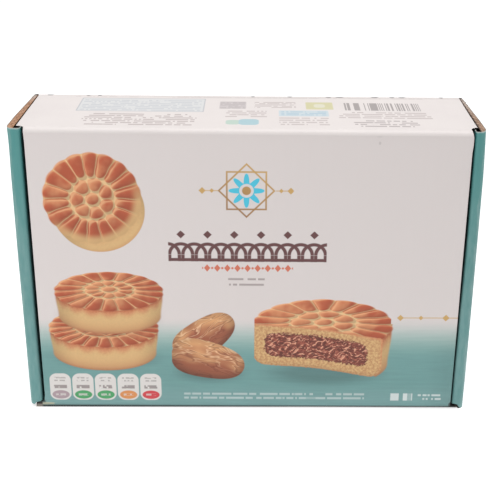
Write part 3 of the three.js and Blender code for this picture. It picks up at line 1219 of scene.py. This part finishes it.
def make_lid():
    front = PrintedPanel("front_print", FRONT_MOTIFS, front_base)
    top = PrintedPanel("top_print", TOP_MOTIFS, top_base)
    materials = [shaded_inner_board(), teal_board("flap_print"), worn_edge_and_shade()]
    shaded_inside, flap, cut_edge = range(3)

    stations = strip_path(front.stops(2, 4), top.stops(2, 4))
    column_stops = front.stops(0, 2) + top.stops(0, 2)
    columns = spaced(-COLUMN_REACH, COLUMN_REACH, COLUMN_PITCH, *column_stops)
    build = Build()
    outer, inner = [], []
    for (y, z), (inner_y, inner_z), out, _ in stations:
        left, right = strip_edges(y, z)
        places = [left, left + LIP, *columns, right - LIP, right]
        row = []
        for x in places:
            proud = strip_bulge(x, y, z) - (LIP_DROP if x in (left, right) else 0.0)
            folded_y, folded_z = crisper(x, y, z)
            row.append((x, folded_y + out[0] * proud, folded_z + out[1] * proud))
        outer.append(build.put(row))
        inner.append(build.put([(x, inner_y, inner_z) for x in places]))

    def printed(i, j):
        """The material of the face between stations i and i + 1 and columns j and j + 1."""
        if stations[i][3] == "flap":
            return flap
        first, last = build.points[outer[i][j]], build.points[outer[i + 1][j + 1]]
        x, y, z = ((a + b) / 2 for a, b in zip(first, last))
        if stations[i][3] == "front":
            return front.slot(x, z, materials)
        return top.slot(x, y, materials)

    for i in range(len(stations) - 1):
        build.band(outer[i + 1], outer[i], lambda j, i=i: printed(i, j), closed=False)
        build.band(inner[i], inner[i + 1], shaded_inside, closed=False)
        y, z = stations[i][0]
        for j in (0, -1):
            corners = (outer[i][j], outer[i + 1][j], inner[i + 1][j], inner[i][j])
            # Cut edges tucked behind the rims take the near-black inner material as painted shade.
            tucked = z > 1.0 and y < FRONT + TUCKED_BEHIND_RIM
            build.face(corners[::-1] if j else corners, shaded_inside if tucked else cut_edge)
    build.band(inner[-1], outer[-1], cut_edge, closed=False)
    cut_end(build, outer[0], inner[0], cut_edge)
    flutes(build, (-NOMINAL_EDGE + 2, FLAP_END, BOARD / 2), (1, 0, 0), (0, 0, 1), (0, 1, 0),
           2 * NOMINAL_EDGE - 4, cut_edge)
    lid = build.piece("lid_strip", materials, "lid", "lid_print")
    flatten_map(lid.data, outer, stations)


def cut_end(build, outer_row, inner_row, slot):
    """The flap's free end: two liner edges, with a shallow channel between them."""
    upper_liner = BOARD - LINER
    rows = [outer_row]
    for thickness, depth in ((LINER, 0.0), (LINER, FLUTE_DEPTH),
                             (upper_liner, FLUTE_DEPTH), (upper_liner, 0.0)):
        rows.append(build.put([
            (x, y - depth, z + (build.points[k][2] - z) * thickness / BOARD)
            for (x, y, z), k in zip((build.points[j] for j in outer_row), inner_row)
        ]))
    rows.append(inner_row)
    for a, b in zip(rows, rows[1:]):
        build.band(a, b, slot, closed=False)


MAP_SHARES = {"flap": 0.03, "front": 0.66, "hinge": 0.27}  # of the map's height
SPARE_FROM = 0.969  # the rest of the faces lie above, in small cells
SPARE_CELLS, SPARE_ROWS, SPARE_ROW_HEIGHT = 128, 7, 0.0048
SPARE_CORNERS = ((0, 0), (0.006, 0), (0.006, 0.004), (0, 0.004))


def flatten_map(mesh, outer, stations):
    """Lays the strip flat on the piece's map, so that the lid panel gets most of it."""
    layer = mesh.uv_layers.new(name="OFBake")
    row_of = {k: i for i, row in enumerate(outer) for k in row}
    lengths = [0.0]
    for (a, *_), (b, *_) in zip(stations, stations[1:]):
        lengths.append(lengths[-1] + math.hypot(b[0] - a[0], b[1] - a[1]))
    starts, ends = {}, {}
    for (*_, part), reach in zip(stations, lengths):
        starts.setdefault(part, reach)
        ends[part] = reach
    ends["flap"], ends["front"] = starts["front"], starts["hinge"]
    base, height = {}, 0.0
    for part, share in MAP_SHARES.items():
        base[part] = height
        height += share

    def up_of(i):
        part = stations[i][3]
        share = (lengths[i] - starts[part]) / (ends[part] - starts[part])
        return base[part] + MAP_SHARES[part] * share

    spare = 0
    for face in mesh.polygons:
        rows = [row_of.get(v) for v in face.vertices]
        if None not in rows:
            for loop, i in zip(face.loop_indices, rows):
                x = mesh.vertices[mesh.loops[loop].vertex_index].co.x / MM
                layer.data[loop].uv = (
                    0.01 + 0.98 * (x + NOMINAL_EDGE) / (2 * NOMINAL_EDGE), up_of(i))
        else:
            up = SPARE_FROM + (spare // SPARE_CELLS % SPARE_ROWS) * SPARE_ROW_HEIGHT
            place = Vector(((spare % SPARE_CELLS) / SPARE_CELLS, up))
            spare += 1
            for loop, corner in zip(face.loop_indices, SPARE_CORNERS):
                layer.data[loop].uv = place + Vector(corner)


# ---- End walls -------------------------------------------------------------------------
# wall: thickness of the double wall; outer, inner: radii of the rim; slant: how far back its
# outer corner lies; tone_and_shade: brightness of the print, lowered on the right wall as
# painted shade; foot: (inset, z) of the oblique cut at the front; back_foot: z of the foot
# behind it, under the outer layer and farther in; rim: (z, width) up the rolled rim; bow: (z,
# how far outwards); lean: (share of the depth, how far outwards at the top); kraft: colours of
# the top cut edge; shade_line: width and colour of the line of painted shade on it; grey:
# length of its rear end over which it turns grey.

WALLS = {
    LEFT: dict(
        name="left", wall=5.1, outer=3.0, inner=1.6, slant=0.1, tone_and_shade=1.0,
        foot=((0.0, 1.4), (2.1, 1.5), (2.6, 2.2), (3.0, 2.8), (4.0, 2.95), (5.9, 3.3)),
        back_foot=(2.45, 2.45),
        rim=((0.0, 5.75), (8.0, 5.6), (22.0, 5.5), (40.0, 5.35), (130.0, 5.35)),
        bow=((0.0, 0.0), (30.0, 0.15), (70.0, 0.38), (112.0, 0.34), (125.0, 0.08), (130.0, 0.0)),
        lean=((0.0, 0.0), (0.06, 0.62), (0.2, 0.82), (1.0, -0.75)),
        kraft=(ink(152, 112, 86), ink(186, 145, 115)), shade_line=(0.25, ink(152, 108, 76)),
        grey=16.0),
    RIGHT: dict(
        name="right", wall=4.4, outer=3.2, inner=1.1, slant=0.45, tone_and_shade=0.89,
        foot=((0.0, 1.0), (0.7, 1.35), (2.35, 2.1), (5.2, 3.0)),
        back_foot=(0.0, 2.45),
        rim=((0.0, 5.18), (18.0, 5.03), (35.0, 4.92), (50.0, 4.83), (60.0, 4.65),
             (75.0, 4.5), (95.0, 4.43), (112.0, 4.55), (130.0, 4.57)),
        bow=((0.0, 0.25), (40.0, 0.52), (112.0, 0.54), (122.0, 0.22), (130.0, 0.0)),
        lean=((0.0, -1.0), (0.06, 0.25), (0.2, 0.34), (1.0, -1.05)),
        kraft=(ink(138, 110, 92), ink(174, 146, 124)), shade_line=(0.5, ink(78, 56, 42)),
        grey=40.0),
}
SKIN, SKIN_FOLD = 0.5, 0.3  # thickness of the rim's board as drawn, and its inner radius
RIM_DEPTH = 4.0
LEAN_HEIGHT = 14.0  # how far down from the top the walls lean
LINER_SHOWN = LINER * 0.8  # its width on the cut edges
SLACK = 0.05  # for telling a point by its place
INNER_LAYER = (4.0, HEIGHT - 6.0)  # z of its foot and top


def wall_outline(side, z):
    """The plan of an end wall at height z, counter-clockwise: outer layer and rolled rim."""
    facts = WALLS[side]
    wall = between(facts["rim"], z)
    near_top = max(0.0, (z - HEIGHT + LEAN_HEIGHT) / LEAN_HEIGHT)

    def outwards(inset, y):
        if inset:
            return 0.0
        share = (y - FRONT) / DEPTH
        lean = between(facts["lean"], share) * near_top ** (4 if share < 0.05 else 2)
        return between(facts["bow"], z) + lean

    corners = [
        (0.0, FRONT + facts["slant"], facts["outer"]),
        (wall, FRONT, facts["inner"]),
        (wall, FRONT + RIM_DEPTH, 0),
        (wall - SKIN, FRONT + RIM_DEPTH, 0),
        (wall - SKIN, FRONT + SKIN + 0.3, SKIN_FOLD),
        (BOARD, FRONT + SKIN + 0.3, SKIN_FOLD),
        (BOARD, 0.0, 0),
        (BOARD, REAR, 0),
        (0.0, REAR, CORNER_FOLD + min(0.0, outwards(0.0, REAR))),
        (0.0, 8.0, 0),
        (0.0, -10.0, 0),
        (0.0, FRONT + RIM_DEPTH + 0.2, 0),
    ]
    placed = [(from_end(side, inset) + side * outwards(inset, y), y, radius)
              for inset, y, radius in corners]
    return rounded_outline(placed[::-1] if side == RIGHT else placed)


def make_wall(side):
    facts = WALLS[side]
    name = facts["name"]
    materials = [teal_board(f"wall_print_{name}", wall_edges, facts["tone_and_shade"]),
                 kraft_board(f"kraft_{name}", facts["kraft"], *facts["shade_line"], facts["grey"]),
                 liner_board(), shaded_inner_board()]
    teal, kraft, liner, shade = range(4)
    build = Build()

    def foot_at(x, y):
        """The lowest z of the wall, which is cut obliquely at the front of its rim."""
        inset = WIDTH / 2 - abs(x)
        oblique = between(facts["foot"], inset)
        behind = max(0.0, min(1.0, (y - FRONT - 0.1) / 0.5))
        back_foot = facts["back_foot"][inset > BOARD + SLACK]
        return oblique + (min(oblique, back_foot) - oblique) * behind

    def ring_at(z):
        plan = [(x, y, foot_at(x, y)) for x, y in wall_outline(side, z)]
        return build.put([(x, y, foot + (HEIGHT - foot) * z / HEIGHT) for x, y, foot in plan])

    rings = [ring_at(z) for z in spaced(0.0, HEIGHT, 5.0)]
    inner_side = between(facts["rim"], 0.0) - SKIN + 0.02

    def face_slot(j, core=shade):
        x, y, _ = build.points[rings[0][j]]
        x_next, y_next, _ = build.points[rings[0][(j + 1) % len(rings[0])]]
        inset, middle = WIDTH / 2 - abs((x + x_next) / 2), (y + y_next) / 2
        if not BOARD - SLACK <= inset <= inner_side or middle <= FRONT + SKIN:
            return teal
        return core if middle > FRONT + 5.0 else shade

    def edge_slot(j):
        """Only the print's side of the cut edge shows the pale outer liner."""
        return liner if face_slot(j) == teal else kraft

    def close_top():
        """The cut edge: a liner round a shallow channel with the flutes in it."""
        plan = inset_outline(wall_outline(side, HEIGHT), LINER_SHOWN)
        rim = build.put([(x, y, HEIGHT) for x, y in plan])
        channel = build.put([(x, y, HEIGHT - FLUTE_DEPTH) for x, y in plan])
        build.band(rings[-1], rim, edge_slot)
        build.band(rim, channel, kraft)
        build.face(channel, kraft)
        flutes(build, (from_end(side, BOARD / 2), FRONT + 3.0, HEIGHT), (0, 1, 0), (1, 0, 0),
               (0, 0, 1), DEPTH - 6.2, kraft)

    def close_foot():
        outline = inset_outline(wall_outline(side, 0.0), LINER_SHOWN)
        plan = [(x, y, foot_at(x, y)) for x, y in outline]
        rim = build.put(plan)
        channel = build.put([(x, y, foot + FLUTE_DEPTH) for x, y, foot in plan])
        build.band(rim, rings[0], shade)
        build.band(channel, rim, shade)
        build.face(channel[::-1], shade)

    for low, high in zip(rings, rings[1:-1]):
        build.band(low, high, face_slot)
    build.band(rings[-2], rings[-1], lambda j: face_slot(j, kraft))
    close_top()
    close_foot()
    inner_layer(build, side, teal, shade)
    build.piece(f"end_wall_{name}", materials, f"side_wall_{name}", "wall_print")


def block(build, low, high, slot_of):
    """A plain block between two corners, for board that shows only at its ends."""
    (ax, ay, az), (bx, by, bz) = low, high
    corners = [(ax, ay), (bx, ay), (bx, by), (ax, by)]
    bottom = build.put([(x, y, az) for x, y in corners])
    top = build.put([(x, y, bz) for x, y in corners])
    build.band(bottom, top, slot_of)
    build.face(top, slot_of(4))
    build.face(bottom[::-1], slot_of(5))


def inner_layer(build, side, teal, shade):
    """The layer turned back inside the wall, and the two lock tabs on its rear edge."""
    low_x, high_x = sorted(from_end(side, inset) for inset in (BOARD + 0.1, WALLS[side]["wall"]))
    gap_side = 1 if side == LEFT else 3
    foot, top = INNER_LAYER
    block(build, (low_x, FRONT + RIM_DEPTH, foot), (high_x, REAR - BOARD - CLEARANCE, top),
          lambda j: teal if j == gap_side else shade)
    for centre in TAB_CENTRES:
        block(build, (low_x, REAR - BOARD - 1.0, centre - TAB_LENGTH / 2),
              (high_x, REAR - 0.15, centre + TAB_LENGTH / 2), lambda j: shade)


# ---- Tray: rear panel and the filled inside ---------------------------------------------

GAP_DEPTH, GAP_WIDTH = 10.0, 1.6  # of the gap that goes on behind the lid's edges
TRAY_FOLD_STEPS = 5


def slot_end(side):
    """X of the inner end of a lock slot."""
    return from_end(side, WALLS[side]["wall"] + TAB_PLAY)


def tray_plan(rear_x, rear):
    """The tray's outline, counter-clockwise from the right end of its rear face."""
    inside_front = FRONT + BOARD + CLEARANCE

    def end(side, lid_gap):
        """From the rear face in, along the wall and round the gap behind the lid's edge."""
        slot, gap_back = slot_end(side), FRONT + GAP_DEPTH
        return [(from_end(side, BOARD), REAR - BOARD), (slot, REAR - BOARD), (slot, gap_back),
                (lid_gap, gap_back), (lid_gap, inside_front)]

    rear_face = [(x, rear) for x in rear_x]
    return rear_face + end(LEFT, LID_LEFT + GAP_WIDTH) + end(RIGHT, LID_RIGHT - GAP_WIDTH)[::-1]


def make_tray():
    surface = Surface("rear_print")
    rear_base(surface)
    materials = [board_finish(surface), shaded_inner_board()]
    rear_print, shade = 0, 1
    build = Build()
    low, high = BOARD + CLEARANCE, HEIGHT - BOARD
    between_slots = spaced(slot_end(LEFT), slot_end(RIGHT), 9.0)
    rear_x = [from_end(RIGHT, BOARD), *reversed(between_slots), from_end(LEFT, BOARD)]
    turns = [math.pi / 2 * i / TRAY_FOLD_STEPS for i in range(TRAY_FOLD_STEPS + 1)]
    heights = [low + REAR_FOLD * (1 - math.cos(turn)) for turn in turns]
    slot_edges = [c + s * SLOTTED for c in TAB_CENTRES for s in (-1, 1)]
    heights += spaced(low + REAR_FOLD, high, 6.0, *slot_edges)[1:]
    rings = []
    for z in heights:
        below = max(0.0, REAR_FOLD - (z - low))
        rear = REAR - REAR_FOLD + math.sqrt(max(0.0, REAR_FOLD ** 2 - below ** 2))
        rings.append(build.put([(x, y, z) for x, y in tray_plan(rear_x, rear)]))

    last = len(rear_x) - 2
    for lower, upper, z_low, z_high in zip(rings, rings[1:], heights, heights[1:]):
        middle = (z_low + z_high) / 2
        slotted = any(abs(middle - centre) < SLOTTED for centre in TAB_CENTRES)
        build.band(lower, upper, lambda j: rear_print if j <= last else shade,
                   skip=lambda j: slotted and j in (0, last))
    build.face(rings[-1], shade)
    build.face(rings[0][::-1], shade)
    build.piece("rear_panel", materials, "tray", "tray_print")


make_lid()
make_wall(LEFT)
make_wall(RIGHT)
make_tray()

# ---- Floor and light -------------------------------------------------------------------

FLOOR_HALF = 6000.0
FLOOR_PAINTS = (0.92,) * 3, (0.95,) * 3
# Painted light: the floor glows brighter near the carton, which brightens away its contact shadow.
FLOOR_GLOW = (0.20, 0.42)  # far from the carton, and near it
CONTACT_GLOW = 0.17  # more on the last few millimetres
SKY = 0.53
AIM_METRES = (0, 0, 0.06)


def make_floor():
    surface = Surface("pale_floor")
    surface.colour = mixed(noise(surface.place, 0.01), *FLOOR_PAINTS)
    away = rounded_box(surface.x, surface.y, WIDTH / 2, DEPTH / 2, 2.0)
    glow = step(away, 120.0, 0.0, *FLOOR_GLOW) + step(away, 6.0, 0.0, 0.0, CONTACT_GLOW)
    emission = surface.shader.inputs
    emission["Emission Color"].default_value = (1, 1, 1, 1)
    feed(surface.tree, glow, emission["Emission Strength"])
    mesh = bpy.data.meshes.new("floor")
    half = FLOOR_HALF * MM
    corners = [(-half, -half, 0), (half, -half, 0), (half, half, 0), (-half, half, 0)]
    mesh.from_pydata(corners, [], [(0, 1, 2, 3)])
    mesh.materials.append(surface.finish(0.9))
    floor = bpy.data.objects.new("floor", mesh)
    bpy.context.scene.collection.objects.link(floor)


def make_area(name, place, size, power):
    """A round lamp; its place and size are in metres and its power in watts."""
    data = bpy.data.lights.new(name, "AREA")
    data.shape, data.size, data.energy = "DISK", size, power
    light = bpy.data.objects.new(name, data)
    light.location = place
    towards = Vector(AIM_METRES) - Vector(place)
    light.rotation_euler = towards.to_track_quat("-Z", "Y").to_euler()
    bpy.context.scene.collection.objects.link(light)


def make_light():
    world = bpy.data.worlds.new("studio")
    world.use_nodes = True
    background = world.node_tree.nodes["Background"]
    background.inputs["Color"].default_value = (1, 1, 1, 1)
    background.inputs["Strength"].default_value = SKY
    scene = bpy.context.scene
    scene.world = world
    make_area("key", (-0.9, -1.3, 1.5), 1.2, 5)
    make_area("top", (0.1, 0.2, 1.9), 1.6, 24.5)
    scene.view_settings.view_transform = "Standard"
    scene.view_settings.look = "None"


make_floor()
make_light()
